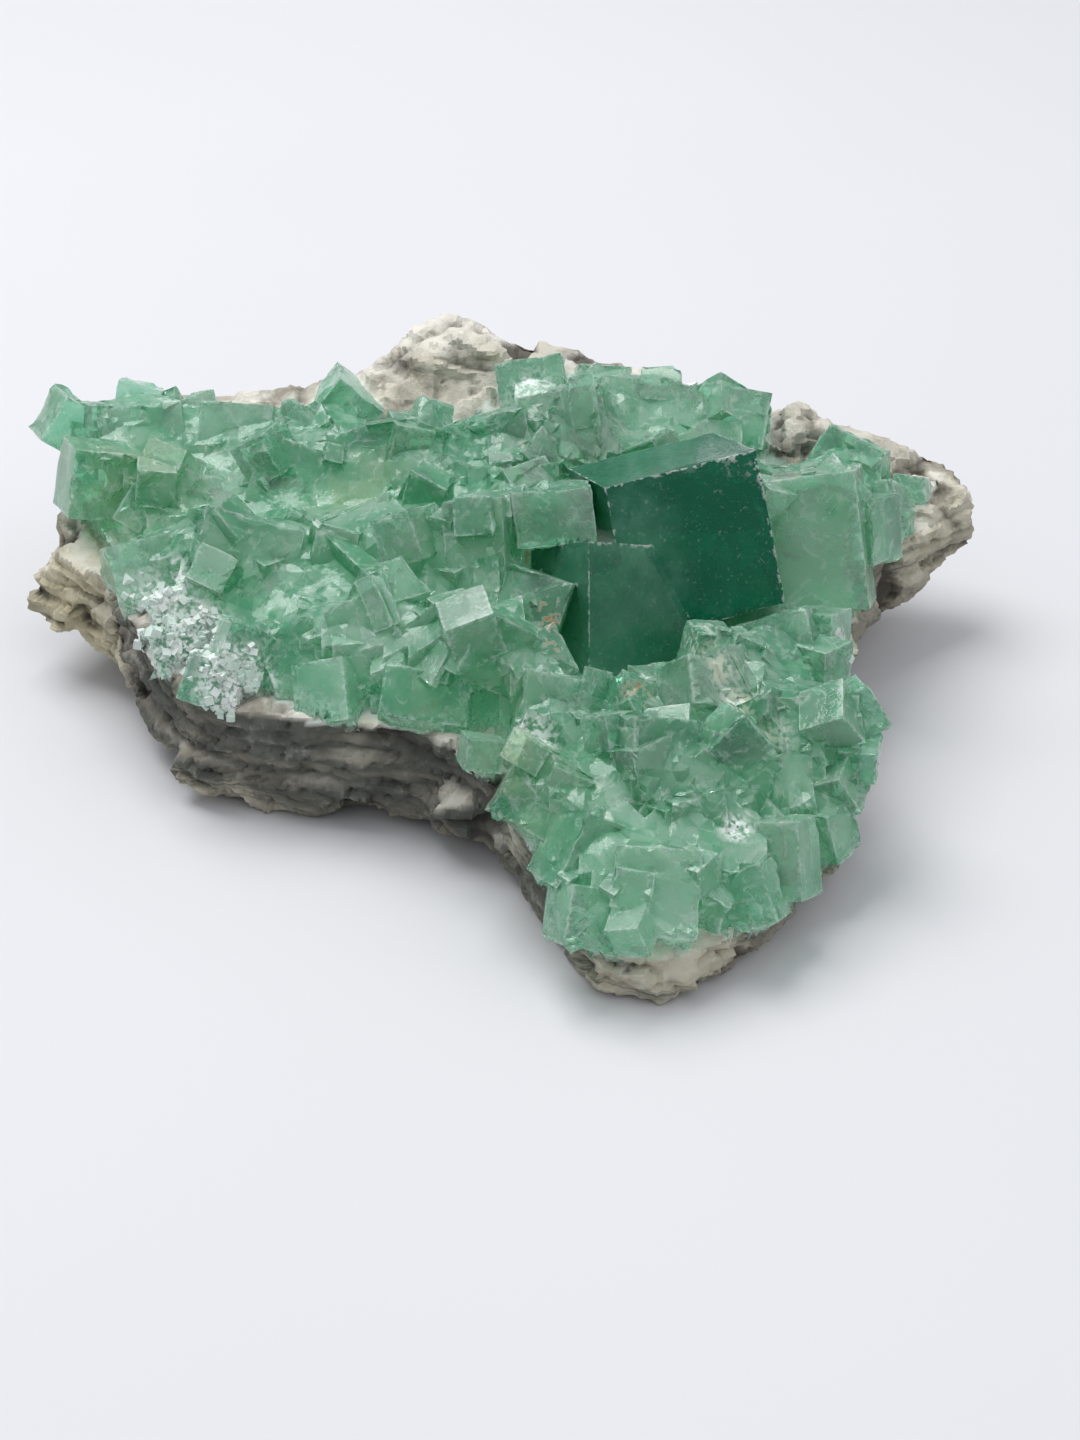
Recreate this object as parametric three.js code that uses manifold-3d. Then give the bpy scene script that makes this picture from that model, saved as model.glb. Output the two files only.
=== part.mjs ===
// Fluorite specimen: a crust of intergrown green cubes on a boot-shaped slab of layered rock.
// Millimetres, +Z up. The front looks along -Y, and the slab rests on the flats under its rock.
import * as THREE from 'three';
import { mergeVertices } from 'three/addons/utils/BufferGeometryUtils.js';
import Module from 'manifold-3d';

const wasm = await Module();
wasm.setup();

// Driving dimensions
const seamGap = 0.3; // between the rock and the crust that grew on it
const crustSheet = 2; // from the crystals' general level down to the mass that binds them
const sheetEdge = 0.8; // how far that mass stays inside the crust's rim
const rockSpokes = 54;
const sheetSpokes = 36;
const hub = { x: 4.5, y: 0.5 }; // every point of both rims is in plain view from here
const seed = 41;

// The rock's rim, anticlockwise from the front toe: x, y, height of its upper edge,
// height of its lower edge, and how far the lower edge is tucked in under the upper one.
const rockRim = [
  [7, -37.5, 4.5, 0, 0.5],
  [13.5, -38, 4.5, 0, 0.5],
  [18, -33.5, 4, 0.5, 1],
  [22, -29, 3.5, 1, 2],
  [26, -22.5, 3.5, 1, 1.5],
  [27.5, -15, 7, 2.5, 0.5],
  [26.5, -9, 9, 3.5, 0],
  [27.5, -2, 9.5, 4, 0],
  [29, 5, 10, 5, 0.5],
  [31.5, 12, 11, 5, 0.5],
  [37, 16, 11.5, 6, 0],
  [41, 22.5, 13, 9, 0],
  [38.5, 24.5, 14, 9.5, 0.5],
  [34.5, 26, 14.5, 8, 1],
  [26, 28, 17, 6, 1.5],
  [18.5, 28.5, 18.5, 4, 2],
  [13, 33, 19.5, 3, 2],
  [4, 34.5, 20.5, 3, 2],
  [-1, 34.5, 21.5, 3, 2],
  [-5.5, 36, 23, 3, 2.5],
  [-10.5, 33.5, 21, 3, 2],
  [-15.5, 29.5, 19.5, 3, 2],
  [-21, 30, 18.5, 4, 2],
  [-28, 29, 18, 5, 2],
  [-37, 29, 17.5, 6, 2],
  [-40, 26, 16.5, 8, 3],
  [-38, 19.5, 15, 6, 1],
  [-40, 12, 11.5, 5, 0],
  [-36.5, 8, 12, 4, 0.5],
  [-33, 3, 12.5, 3, 1],
  [-29.5, -5, 11.5, 1.5, 1],
  [-24, -12, 10, 0, 1.5],
  [-18.5, -13.5, 10, 0.5, 1],
  [-13, -14.5, 10, 1, 1],
  [-7, -16, 10, 1, 1],
  [-2.5, -19.5, 9, 1, 1],
  [0, -23, 8, 1, 0.5],
  [3, -29, 6, 0.5, 0.5],
  [5, -34.5, 4.5, 0, 0.5],
];

// Heights of the rock under the crust: x, y, z.
const rockUnderCrust = [
  [-30, 15, 12],
  [-20, 15, 12.5],
  [-20, 0, 10.5],
  [-8, -3, 11.5],
  [-10, 18, 14],
  [4, 0, 12],
  [0, 20, 14.5],
  [10, 22, 14.5],
  [16, 0, 8.5],
  [20, 18, 13.5],
  [24, 8, 10.5],
  [2, -12, 10],
  [14, -14, 6.5],
  [22, -14, 6],
  [10, -26, 6],
  [18, -25, 4.5],
];

// The crust's rim, in the same order: x, y, height of the crystals there.
const crustRim = [
  [8, -37, 5.5],
  [13, -37, 5.5],
  [17.5, -33.5, 5.5],
  [22, -29.5, 5],
  [26.5, -22.5, 5],
  [28, -16, 9],
  [27, -9.5, 11],
  [27.5, -2.5, 11.5],
  [29.5, 4.5, 12.5],
  [32.5, 11, 13.5],
  [36.5, 19.5, 14],
  [33, 24, 16],
  [28.5, 21.5, 16.5],
  [23, 21, 18],
  [22.5, 26, 18.5],
  [17, 26.5, 19.5],
  [10, 31, 20.5],
  [4, 33, 21],
  [-1, 32, 21],
  [-3, 25, 20],
  [-10, 22.5, 19.5],
  [-15.5, 26, 19.5],
  [-22, 26.5, 19],
  [-30, 28, 19],
  [-35.5, 28, 19.5],
  [-41, 26.5, 19.5],
  [-40.5, 20.5, 19],
  [-38.5, 16.5, 17],
  [-35, 10, 16],
  [-32, 1.5, 14],
  [-28.5, -6.5, 13],
  [-23.5, -12.5, 12],
  [-18.5, -14, 12],
  [-13.5, -14.5, 12],
  [-7, -16.5, 12],
  [-3, -19.5, 11],
  [0, -23, 10],
  [2.5, -28, 9],
  [5, -34, 6.5],
];

// The crystals' general level inside that rim: x, y, z.
const crustLevel = [
  [-32, 18, 18],
  [-22, 12, 17],
  [-24, 2, 15.5],
  [-18, -6, 13.5],
  [-10, 18, 18.5],
  [-9, -3, 16.5],
  [-8, -11, 14],
  [0, 8, 18.5],
  [0, 20, 19.5],
  [10, 18, 19],
  [2, -4, 17],
  [3, -14, 14],
  [13, -8, 12.5],
  [22, 12, 16.5],
  [26, 2, 14.5],
  [22, -8, 12.5],
  [14, -17, 12],
  [22, -18, 10.5],
  [8, -24, 12],
  [18, -25, 8.5],
  [10, -31, 8.5],
];

// The crystals that stand out: centre, edges along X, Y and Z before turning, and the turn to
// the right, the backward lean and the clockwise roll as seen from the front, in degrees.
const crystals = [
  ['great cube', [13.7, 4.4, 16.8], [13, 12, 13], [17, 15, -12]],
  ['second cube', [8.1, -3.2, 12.5], [10, 8, 12.5], [36, 33, 0]],
  ['dark notch', [2, -5.5, 15.5], [5.5, 6, 5.5], [-15, 25, 20]],
  ['pale slab', [-2, -0.5, 17.5], [5, 7, 9], [-10, 27, -4]],
  ['ledge block', [3.5, 1, 20.5], [6.5, 6, 4.5], [5, 20, -6]],
  ['right wall', [26, 6, 15.5], [7.5, 8, 11.5], [-8, 22, -8]],
  ['right apex', [29.5, 20, 16], [5.5, 5, 4], [-30, 25, 35]],
  ['under great cube', [22, -6, 12], [6.5, 6, 5], [-10, 30, -15]],
  ['pale diamond', [16.5, -15.5, 12.5], [6.5, 6, 6.5], [0, 35, -35]],
  ['rust corner', [9, -17, 13.5], [3.5, 3.5, 3.5], [30, 30, 10]],
  ['diamond back', [17.5, -10.5, 13], [4.5, 4.5, 4.5], [25, 30, 25]],
  ['diamond right', [19.5, -18.5, 12], [5, 4.5, 4.5], [-25, 30, -20]],
  ['centre low', [14.5, -24, 10.5], [4, 4, 4], [20, 30, -30]],
  ['split cube', [10.5, -24, 12.5], [6, 5.5, 6.5], [28, 30, 5]],
  ['right block', [23.5, -17.5, 10.5], [7.5, 7, 7], [-6, 25, -2]],
  ['white cube', [2, -21, 13], [3, 3, 3], [0, 30, 30]],
  ['pale heel', [3, -25.5, 10], [7, 6, 6], [-15, 30, 35]],
  ['front bright', [10.5, -33.5, 7], [6.5, 6, 6.5], [5, 35, 5]],
  ['front chip', [15.5, -28.5, 6.5], [5.5, 5, 5], [-10, 35, 40]],
  ['front stripe', [21, -29, 7], [3.5, 4, 6], [-25, 25, -5]],
  ['front dark', [6, -30.5, 8.5], [5.5, 5.5, 6], [15, 25, 25]],
  ['front step', [13.5, -27, 9], [6, 5, 4.5], [0, 30, -5]],
  ['right dark', [22.5, -21, 6.5], [7, 6, 5], [-10, 30, 10]],
  ['right foot', [24, -24, 6], [4, 4, 4], [-30, 15, -15]],
  ['toe right', [17.5, -32, 5.5], [5.5, 5, 4.5], [-10, 30, -20]],
  ['toe left', [6, -35, 6], [5, 5, 4.5], [15, 30, 10]],
  ['bright cube', [-10, -8.5, 14.5], [5.5, 5.5, 7], [-12, 30, -26]],
  ['left round', [-22.5, 3, 15.5], [8.5, 7, 6.5], [12, 32, 15]],
  ['vee', [-11.5, 3.5, 14.5], [8, 7.5, 7], [42, -12, 10]],
  ['back apex', [-15, 26, 18.5], [5, 6, 5], [0, 10, 40]],
  ['pale back left', [-24, 22.5, 17.5], [6.5, 6, 5], [-5, 30, 5]],
  ['dark left', [-29.5, 13, 16], [5.5, 5.5, 4.5], [0, 25, 35]],
  ['far left', [-39, 22.5, 18.5], [4.5, 4.5, 4.5], [15, 20, 35]],
  ['left wall', [-35.5, 13.5, 17.5], [5.5, 5.5, 6], [20, 15, 10]],
  ['left flat', [-32.5, 22.5, 17], [7.5, 6.5, 5.5], [10, 30, -8]],
  ['left bump', [-33.5, 27, 18.5], [4, 4, 3.5], [0, 20, 15]],
  ['mid broad', [-11, 17, 17], [9, 8, 6], [8, 35, -12]],
  ['mid left', [-18.5, 15, 16.5], [7, 6, 6], [-10, 30, 20]],
  ['mid right', [-1.5, 17.5, 18.5], [7.5, 7, 5], [0, 30, -15]],
  ['dark sliver', [-7.5, -0.5, 17.5], [3.5, 5, 6.5], [25, 25, 3]],
  ['mid dark', [-2, -13, 16], [6, 6, 5.5], [20, 25, 30]],
  ['back tall', [5, 19, 19], [6.5, 7, 7.5], [-10, 28, -10]],
  ['back wide', [11.5, 25.5, 18.5], [8.5, 8, 5], [5, 28, 4]],
  ['back right', [19.5, 25, 18], [6, 6, 5], [-5, 28, 12]],
  ['far back', [2, 29, 19], [6, 7, 5], [0, 28, -10]],
  ['far back right', [8, 30, 18.5], [5, 6, 4], [0, 28, 5]],
  ['clear left', [-21.5, -9, 13], [4, 4, 4.5], [10, 30, 25]],
  ['clear right', [-17, -8, 12], [4.5, 4.5, 5.5], [10, 30, -20]],
  ['white left', [-26, -2.5, 12.5], [5, 4.5, 5.5], [15, 30, -30]],
  ['white rim', [-27, -5.5, 11.5], [4.5, 4, 4], [30, 25, -15]],
  ['white rim low', [-23.5, -10, 11], [4.5, 4, 4], [-10, 30, 20]],
  ['left corner', [-30.5, 3, 14], [5.5, 5, 5.5], [20, 25, -15]],
  ['slant', [-4, -11, 14.5], [4.5, 5, 7.5], [0, 28, -40]],
  ['rim row', [-6.5, -13.5, 12], [7, 5, 4], [0, 28, 10]],
  ['rim dark', [-2, -20.5, 11], [3, 3, 2.5], [10, 20, 10]],
  ['rust step', [4, -16, 12.5], [6.5, 5, 4.5], [0, 30, 15]],
  ['centre front', [16.5, -23, 10.5], [6, 5, 5], [0, 30, 30]],
  ['spur crystal', [35, 19, 13.5], [3, 3, 3], [-20, 25, 10]],
  ['right side', [30, 8, 15.5], [4, 5, 5.5], [-35, 20, -5]],
  ['right lip', [25, -5, 11.5], [4, 5, 6], [-25, 20, 0]],
];

// Smaller crystals fill the crust between those, one in each cell of a loose grid.
const fillCell = 4.8;
const fillEdge = { least: 3, most: 5.4 };
const fillSunk = 0.34; // share of the edge that the centre lies below the general level
const fillStray = 0.35; // share of a cell that a crystal strays from its cell's middle
const fillClear = 0.8; // how far outside a standing crystal its centre has to be
const bigEdge = 9.5; // a crystal with a longer edge than this keeps its faces bare
const bigClear = 2.6; // and its neighbours' centres this far off
const fillInset = 2.2; // how far inside the crust's rim its centre has to be
const fillSquare = { least: 0.85, most: 1.15 }; // its other edges, as shares of the first
const fillTurn = { least: -45, most: 45 };
const fillLean = { least: 5, most: 45 };
const fillRoll = { least: -45, most: 45 };

// Broken lumps of the rock: centre, half sizes, turn about Z in degrees.
const rockLumps = [
  ['left chunk', [-37, 13, 8], [4.5, 4, 4], 20],
  ['spur tip', [37, 20.5, 10.5], [4.5, 4, 4], 35],
  ['back peak', [-5.5, 32.5, 19], [5.5, 4.5, 4.5], 10],
  ['back knob', [-13, 29.5, 16.5], [4.5, 3, 4], 50],
  ['back right knob', [25.5, 25, 14], [5, 3.5, 4.5], 25],
  ['left foot', [-22, -8.5, 3], [5.5, 3.5, 3], 15],
  ['toe', [10.5, -34.5, 2.3], [5.5, 3.5, 2.8], 0],
  ['heel ledge', [-2, -16.5, 4], [4.5, 3, 3], 40],
];

// Pits and hollows broken into it: centre, half sizes, turn about Z in degrees.
const rockPits = [
  ['arch', [-12, -16, -0.5], [6, 5, 2], 15],
  ['left hollow', [-31.5, -2, 6], [2.5, 2, 2.5], 30],
  ['right hollow', [29.5, -4, 5.5], [3, 4, 2.5], 0],
  ['spur hollow', [33.5, 11, 6.5], [3, 2.5, 2.5], 45],
  ['back hollow', [9, 35.5, 9], [4, 3, 3.5], 10],
  ['back left hollow', [-24, 30.5, 10], [5, 2.5, 3], 0],
  ['toe hollow', [3, -33, 2.5], [2, 2.5, 1.5], 0],
];

// The rock's layers, down its broken side: share of the height, and how far each stands out.
const layers = [
  [0.12, 0.4],
  [0.3, -0.6],
  [0.44, 0.5],
  [0.6, -0.6],
  [0.74, 0.5],
  [0.9, 0.1],
];
const layerRun = 6; // how far along the side a ledge goes before it breaks off
const layerWaver = 0.06; // share of the height by which it rises and falls
const layerBreak = 1.5; // how much more or less it stands out along its run
const lowerStep = 0.6; // how far the lowest layer is stepped in

// Shares of the way out from the hub at which the rock and the binding mass have their points.
const topShares = [0.25, 0.5, 0.7, 0.85, 0.95];
const underShares = [0.93, 0.8, 0.62, 0.35];
const sheetShares = [0.3, 0.55, 0.78, 0.92, 1];
const sheetRoot = 1; // how far the binding mass goes into the rock, where it is cut away

const restShare = 0.62; // inside this share of the way out, the underside is one flat
const ground = { width: 200, depth: 10 }; // what reaches below the resting surface is cut off
const rockRough = 0.7; // how far the broken surface strays from its plain form
const rockGrain = 4.5; // the size of that roughness
const lumpSwell = { mean: 1.1, stray: 0.3 }; // a lump's corners, as shares of its half sizes
const nearPower = 1.6; // how strongly a height follows the nearest stated one
const nearSoft = 0.5;
const weld = 1e-4; // points closer than this are one point

// Random numbers and smooth noise that come out the same each time.
function randomFrom(start) {
  let state = start;
  return () => {
    state = (state + 0x6d2b79f5) | 0;
    let mixed = Math.imul(state ^ (state >>> 15), 1 | state);
    mixed = (mixed + Math.imul(mixed ^ (mixed >>> 7), 61 | mixed)) ^ mixed;
    return ((mixed ^ (mixed >>> 14)) >>> 0) / 4294967296;
  };
}

function latticeValue(i, j, k) {
  const wave = Math.sin(i * 127.1 + j * 311.7 + k * 74.7 + seed) * 43758.5453;
  return (wave - Math.floor(wave)) * 2 - 1;
}

function noise(x, y, z) {
  const cell = [x, y, z].map(Math.floor);
  const ease = [x, y, z].map((value, axis) => {
    const share = value - cell[axis];
    return share * share * (3 - 2 * share);
  });
  let sum = 0;
  for (let corner = 0; corner < 8; corner += 1) {
    const step = [corner & 1, (corner >> 1) & 1, corner >> 2];
    const weight = step.reduce((w, s, axis) => w * (s ? ease[axis] : 1 - ease[axis]), 1);
    sum += weight * latticeValue(cell[0] + step[0], cell[1] + step[1], cell[2] + step[2]);
  }
  return sum;
}

// A value at any place, from the values at a few places near it.
function field(samples) {
  return (x, y) => {
    let total = 0;
    let weights = 0;
    for (const [sx, sy, value] of samples) {
      const weight = 1 / ((x - sx) ** 2 + (y - sy) ** 2 + nearSoft) ** nearPower;
      total += weight * value;
      weights += weight;
    }
    return total / weights;
  };
}

// How far a rim is from the hub in a direction.
function reach(rim, angle) {
  const dx = Math.cos(angle);
  const dy = Math.sin(angle);
  let found = 0;
  rim.forEach(([ax, ay], index) => {
    const [bx, by] = rim[(index + 1) % rim.length];
    const ex = bx - ax;
    const ey = by - ay;
    const cross = dx * ey - dy * ex;
    const px = ax - hub.x;
    const py = ay - hub.y;
    const along = (px * ey - py * ex) / cross;
    const share = (px * dy - py * dx) / cross;
    if (along > 0 && share >= 0 && share <= 1) found = Math.max(found, along);
  });
  return found;
}

// A closed solid from rings of points around the hub, from its top point to its bottom point.
function ringSolid(top, rings, bottom) {
  const count = rings[0].length;
  const positions = [top, ...rings.flat(), bottom].flat();
  const last = 1 + rings.length * count;
  const index = [];
  const at = (ring, spoke) => 1 + ring * count + (spoke % count);
  for (let spoke = 0; spoke < count; spoke += 1) {
    index.push(0, at(0, spoke), at(0, spoke + 1));
    for (let ring = 0; ring + 1 < rings.length; ring += 1) {
      const a = at(ring, spoke);
      const b = at(ring, spoke + 1);
      const c = at(ring + 1, spoke);
      const d = at(ring + 1, spoke + 1);
      index.push(a, c, b, b, c, d);
    }
    index.push(last, at(rings.length - 1, spoke + 1), at(rings.length - 1, spoke));
  }
  const geometry = new THREE.BufferGeometry();
  geometry.setAttribute('position', new THREE.Float32BufferAttribute(positions, 3));
  geometry.setIndex(index);
  return geometry;
}

function toSolid(geometry) {
  geometry.deleteAttribute('normal');
  geometry.deleteAttribute('uv');
  const merged = mergeVertices(geometry, weld);
  return new wasm.Manifold(new wasm.Mesh({
    numProp: 3,
    vertProperties: new Float32Array(merged.attributes.position.array),
    triVerts: new Uint32Array(merged.index.array),
  }));
}

// The solid's largest body, so that no loose chip or closed hollow is left in it.
function toGeometry(solid) {
  const bodies = solid.decompose();
  bodies.sort((a, b) => b.volume() - a.volume());
  const mesh = bodies[0].getMesh();
  const geometry = new THREE.BufferGeometry();
  geometry.setAttribute('position', new THREE.BufferAttribute(new Float32Array(mesh.vertProperties), 3));
  geometry.setIndex(new THREE.BufferAttribute(new Uint32Array(mesh.triVerts), 1));
  const flat = geometry.toNonIndexed();
  flat.computeVertexNormals();
  return flat;
}

const rockTop = field([...rockRim.map(([x, y, top]) => [x, y, top]), ...rockUnderCrust]);
const rockFoot = field(rockRim.map(([x, y, top, foot]) => [x, y, foot]));
const rockTuck = field(rockRim.map(([x, y, top, foot, tuck]) => [x, y, tuck]));
const crustTop = field([...crustRim, ...crustLevel]);

function place(angle, distance) {
  return [hub.x + Math.cos(angle) * distance, hub.y + Math.sin(angle) * distance];
}

// An angular lump: a dodecahedron with its corners strayed, scaled and turned.
function lump([, centre, half, turn], grow = 0) {
  const geometry = new THREE.DodecahedronGeometry(1, 0);
  const position = geometry.attributes.position;
  const point = new THREE.Vector3();
  for (let i = 0; i < position.count; i += 1) {
    point.fromBufferAttribute(position, i);
    const stray = noise(point.x * 2 + centre[0], point.y * 2 + centre[1], point.z * 2 + centre[2]);
    point.multiplyScalar(lumpSwell.mean + lumpSwell.stray * stray);
    position.setXYZ(i, point.x, point.y, point.z);
  }
  geometry.scale(...half.map((size) => size + grow));
  geometry.rotateZ(THREE.MathUtils.degToRad(turn));
  geometry.translate(...centre);
  return toSolid(geometry);
}

// The slab of rock, its sides stepped in layers. grow is how far it is swollen on all sides.
function slab(grow) {
  const rings = [...topShares, ...layers, ...underShares, 1, 1].map(() => []);
  for (let spoke = 0; spoke < rockSpokes; spoke += 1) {
    const angle = (spoke / rockSpokes) * Math.PI * 2;
    const rim = reach(rockRim, angle);
    const [rimX, rimY] = place(angle, rim);
    const upper = rockTop(rimX, rimY);
    const lower = rockFoot(rimX, rimY);
    const tuck = rockTuck(rimX, rimY);
    let ring = 0;
    const add = (distance, z, rough) => {
      const [x, y] = place(angle, distance);
      const stray = rough * rockRough * noise(x / rockGrain, y / rockGrain, z / rockGrain + ring);
      const [px, py] = place(angle, distance + stray + (rough ? grow : 0));
      rings[ring].push([px, py, z]);
      ring += 1;
    };
    const addTop = (share) => {
      const [x, y] = place(angle, rim * share);
      const stray = rockRough * noise(x / rockGrain, y / rockGrain, 3);
      add(rim * share, rockTop(x, y) + stray + grow, share === 1 ? 1 : 0);
    };
    topShares.forEach(addTop);
    addTop(1);
    for (const [share, out] of layers) {
      const run = noise(rimX / layerRun, rimY / layerRun, share * 20);
      const down = share + layerWaver * noise(rimX / layerRun, rimY / layerRun, 7);
      add(rim + out * (1 + layerBreak * run) - tuck * share, upper + (lower - upper) * down, 1);
    }
    add(rim - tuck - lowerStep, lower - grow, 0);
    for (const share of underShares) {
      const raised = Math.max(0, (share - restShare) / (1 - restShare));
      add((rim - tuck) * share, lower * raised - grow, 0);
    }
  }
  const crown = [hub.x, hub.y, rockTop(hub.x, hub.y) + grow];
  return toSolid(ringSolid(crown, rings, [hub.x, hub.y, -grow]));
}

function rock(grow) {
  let body = slab(grow);
  for (const each of rockLumps) body = body.add(lump(each, grow));
  return body;
}

// The mass that binds the crystals, from just under their general level down into the rock.
function sheet() {
  const rings = [...sheetShares, 1].map(() => []);
  for (let spoke = 0; spoke < sheetSpokes; spoke += 1) {
    const angle = (spoke / sheetSpokes) * Math.PI * 2;
    const rim = reach(crustRim, angle) - sheetEdge;
    sheetShares.forEach((share, ring) => {
      const [x, y] = place(angle, rim * share);
      rings[ring].push([x, y, crustTop(x, y) - crustSheet]);
    });
    const [x, y] = place(angle, rim - sheetRoot);
    rings[sheetShares.length].push([x, y, rockTop(x, y) - sheetRoot]);
  }
  const crown = [hub.x, hub.y, crustTop(hub.x, hub.y) - crustSheet];
  return toSolid(ringSolid(crown, rings, [hub.x, hub.y, rockTop(hub.x, hub.y) - sheetRoot]));
}

function crystalMatrix(centre, [turn, lean, roll]) {
  const { degToRad } = THREE.MathUtils;
  const euler = new THREE.Euler(-degToRad(lean), degToRad(roll), degToRad(turn), 'YXZ');
  return new THREE.Matrix4().makeRotationFromEuler(euler).setPosition(...centre);
}

function crystal(centre, edges, angles) {
  const geometry = new THREE.BoxGeometry(...edges);
  geometry.applyMatrix4(crystalMatrix(centre, angles));
  return toSolid(geometry);
}

// The smaller crystals: centre, edges and angles of each.
function fillers() {
  const random = randomFrom(seed);
  const between = ({ least, most }) => least + (most - least) * random();
  const stray = { least: -fillStray * fillCell, most: fillStray * fillCell };
  const standing = crystals.map(([, centre, edges, angles]) => ({
    inverse: crystalMatrix(centre, angles).invert(),
    half: edges.map((edge) => edge / 2 + (Math.max(...edges) > bigEdge ? bigClear : fillClear)),
  }));
  const found = [];
  const extent = new THREE.Box2().setFromPoints(crustRim.map(([x, y]) => new THREE.Vector2(x, y)));
  for (let gx = extent.min.x; gx < extent.max.x; gx += fillCell) {
    for (let gy = extent.min.y; gy < extent.max.y; gy += fillCell) {
      const x = gx + between(stray);
      const y = gy + between(stray);
      const edge = between(fillEdge);
      const edges = [edge, edge * between(fillSquare), edge * between(fillSquare)];
      const angles = [between(fillTurn), between(fillLean), between(fillRoll)];
      const centre = [x, y, crustTop(x, y) - edge * fillSunk];
      const away = Math.hypot(x - hub.x, y - hub.y);
      const inside = away < reach(crustRim, Math.atan2(y - hub.y, x - hub.x)) - fillInset;
      const free = standing.every(({ inverse, half }) => {
        const local = new THREE.Vector3(...centre).applyMatrix4(inverse);
        return Math.abs(local.x) > half[0] || Math.abs(local.y) > half[1] || Math.abs(local.z) > half[2];
      });
      if (inside && free) found.push([centre, edges, angles]);
    }
  }
  return found;
}

const matrixMaterial = new THREE.MeshStandardMaterial({ color: 0xc9bfa8, roughness: 0.9, metalness: 0 });
const fluoriteMaterial = new THREE.MeshStandardMaterial({ color: 0x6fae8c, roughness: 0.15, metalness: 0 });

const pits = rockPits.map((each) => lump(each));
const floor = crystal([0, 0, -ground.depth / 2], [ground.width, ground.width, ground.depth], [0, 0, 0]);
const matrixSolid = [...pits, floor].reduce((body, each) => body.subtract(each), rock(0));
const standingSolids = crystals.map(([, centre, edges, angles]) => crystal(centre, edges, angles));
const fillerSolids = fillers().map((each) => crystal(...each));
const crust = [...standingSolids, ...fillerSolids].reduce((body, each) => body.add(each), sheet());
const crustSolid = crust.subtract(rock(seamGap));

const rockMesh = new THREE.Mesh(toGeometry(matrixSolid), matrixMaterial);
rockMesh.name = 'matrix';
const crystalMesh = new THREE.Mesh(toGeometry(crustSolid), fluoriteMaterial);
crystalMesh.name = 'fluorite_crystals';

const specimen = new THREE.Group();
specimen.add(rockMesh, crystalMesh);

// The origin is under the middle of the specimen, on the surface that it rests on.
const box = new THREE.Box3().setFromObject(specimen);
const middle = box.getCenter(new THREE.Vector3());
specimen.position.set(-middle.x, -middle.y, -box.min.z);

export default specimen;
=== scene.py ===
import math
import random

import bmesh
import bpy
from mathutils import Matrix, Vector, noise
from mathutils.bvhtree import BVHTree
from mathutils.kdtree import KDTree


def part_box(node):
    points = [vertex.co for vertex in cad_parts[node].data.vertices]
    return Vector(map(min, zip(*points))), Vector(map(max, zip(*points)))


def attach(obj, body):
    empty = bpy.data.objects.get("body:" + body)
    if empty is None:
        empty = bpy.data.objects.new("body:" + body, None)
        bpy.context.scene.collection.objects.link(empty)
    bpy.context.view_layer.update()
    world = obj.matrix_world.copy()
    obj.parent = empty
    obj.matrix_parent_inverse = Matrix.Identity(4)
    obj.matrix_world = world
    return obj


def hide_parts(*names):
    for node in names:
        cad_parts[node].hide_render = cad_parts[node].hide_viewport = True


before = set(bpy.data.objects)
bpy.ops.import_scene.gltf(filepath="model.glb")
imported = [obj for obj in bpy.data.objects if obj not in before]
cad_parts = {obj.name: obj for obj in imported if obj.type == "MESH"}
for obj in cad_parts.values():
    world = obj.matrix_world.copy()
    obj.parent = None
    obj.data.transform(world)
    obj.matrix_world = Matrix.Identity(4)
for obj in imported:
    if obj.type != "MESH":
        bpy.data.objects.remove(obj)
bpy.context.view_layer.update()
mm = 0.001  # every size below is in millimetres times this
noise.seed_set(7)  # without it the noise changes with the clock


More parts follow.
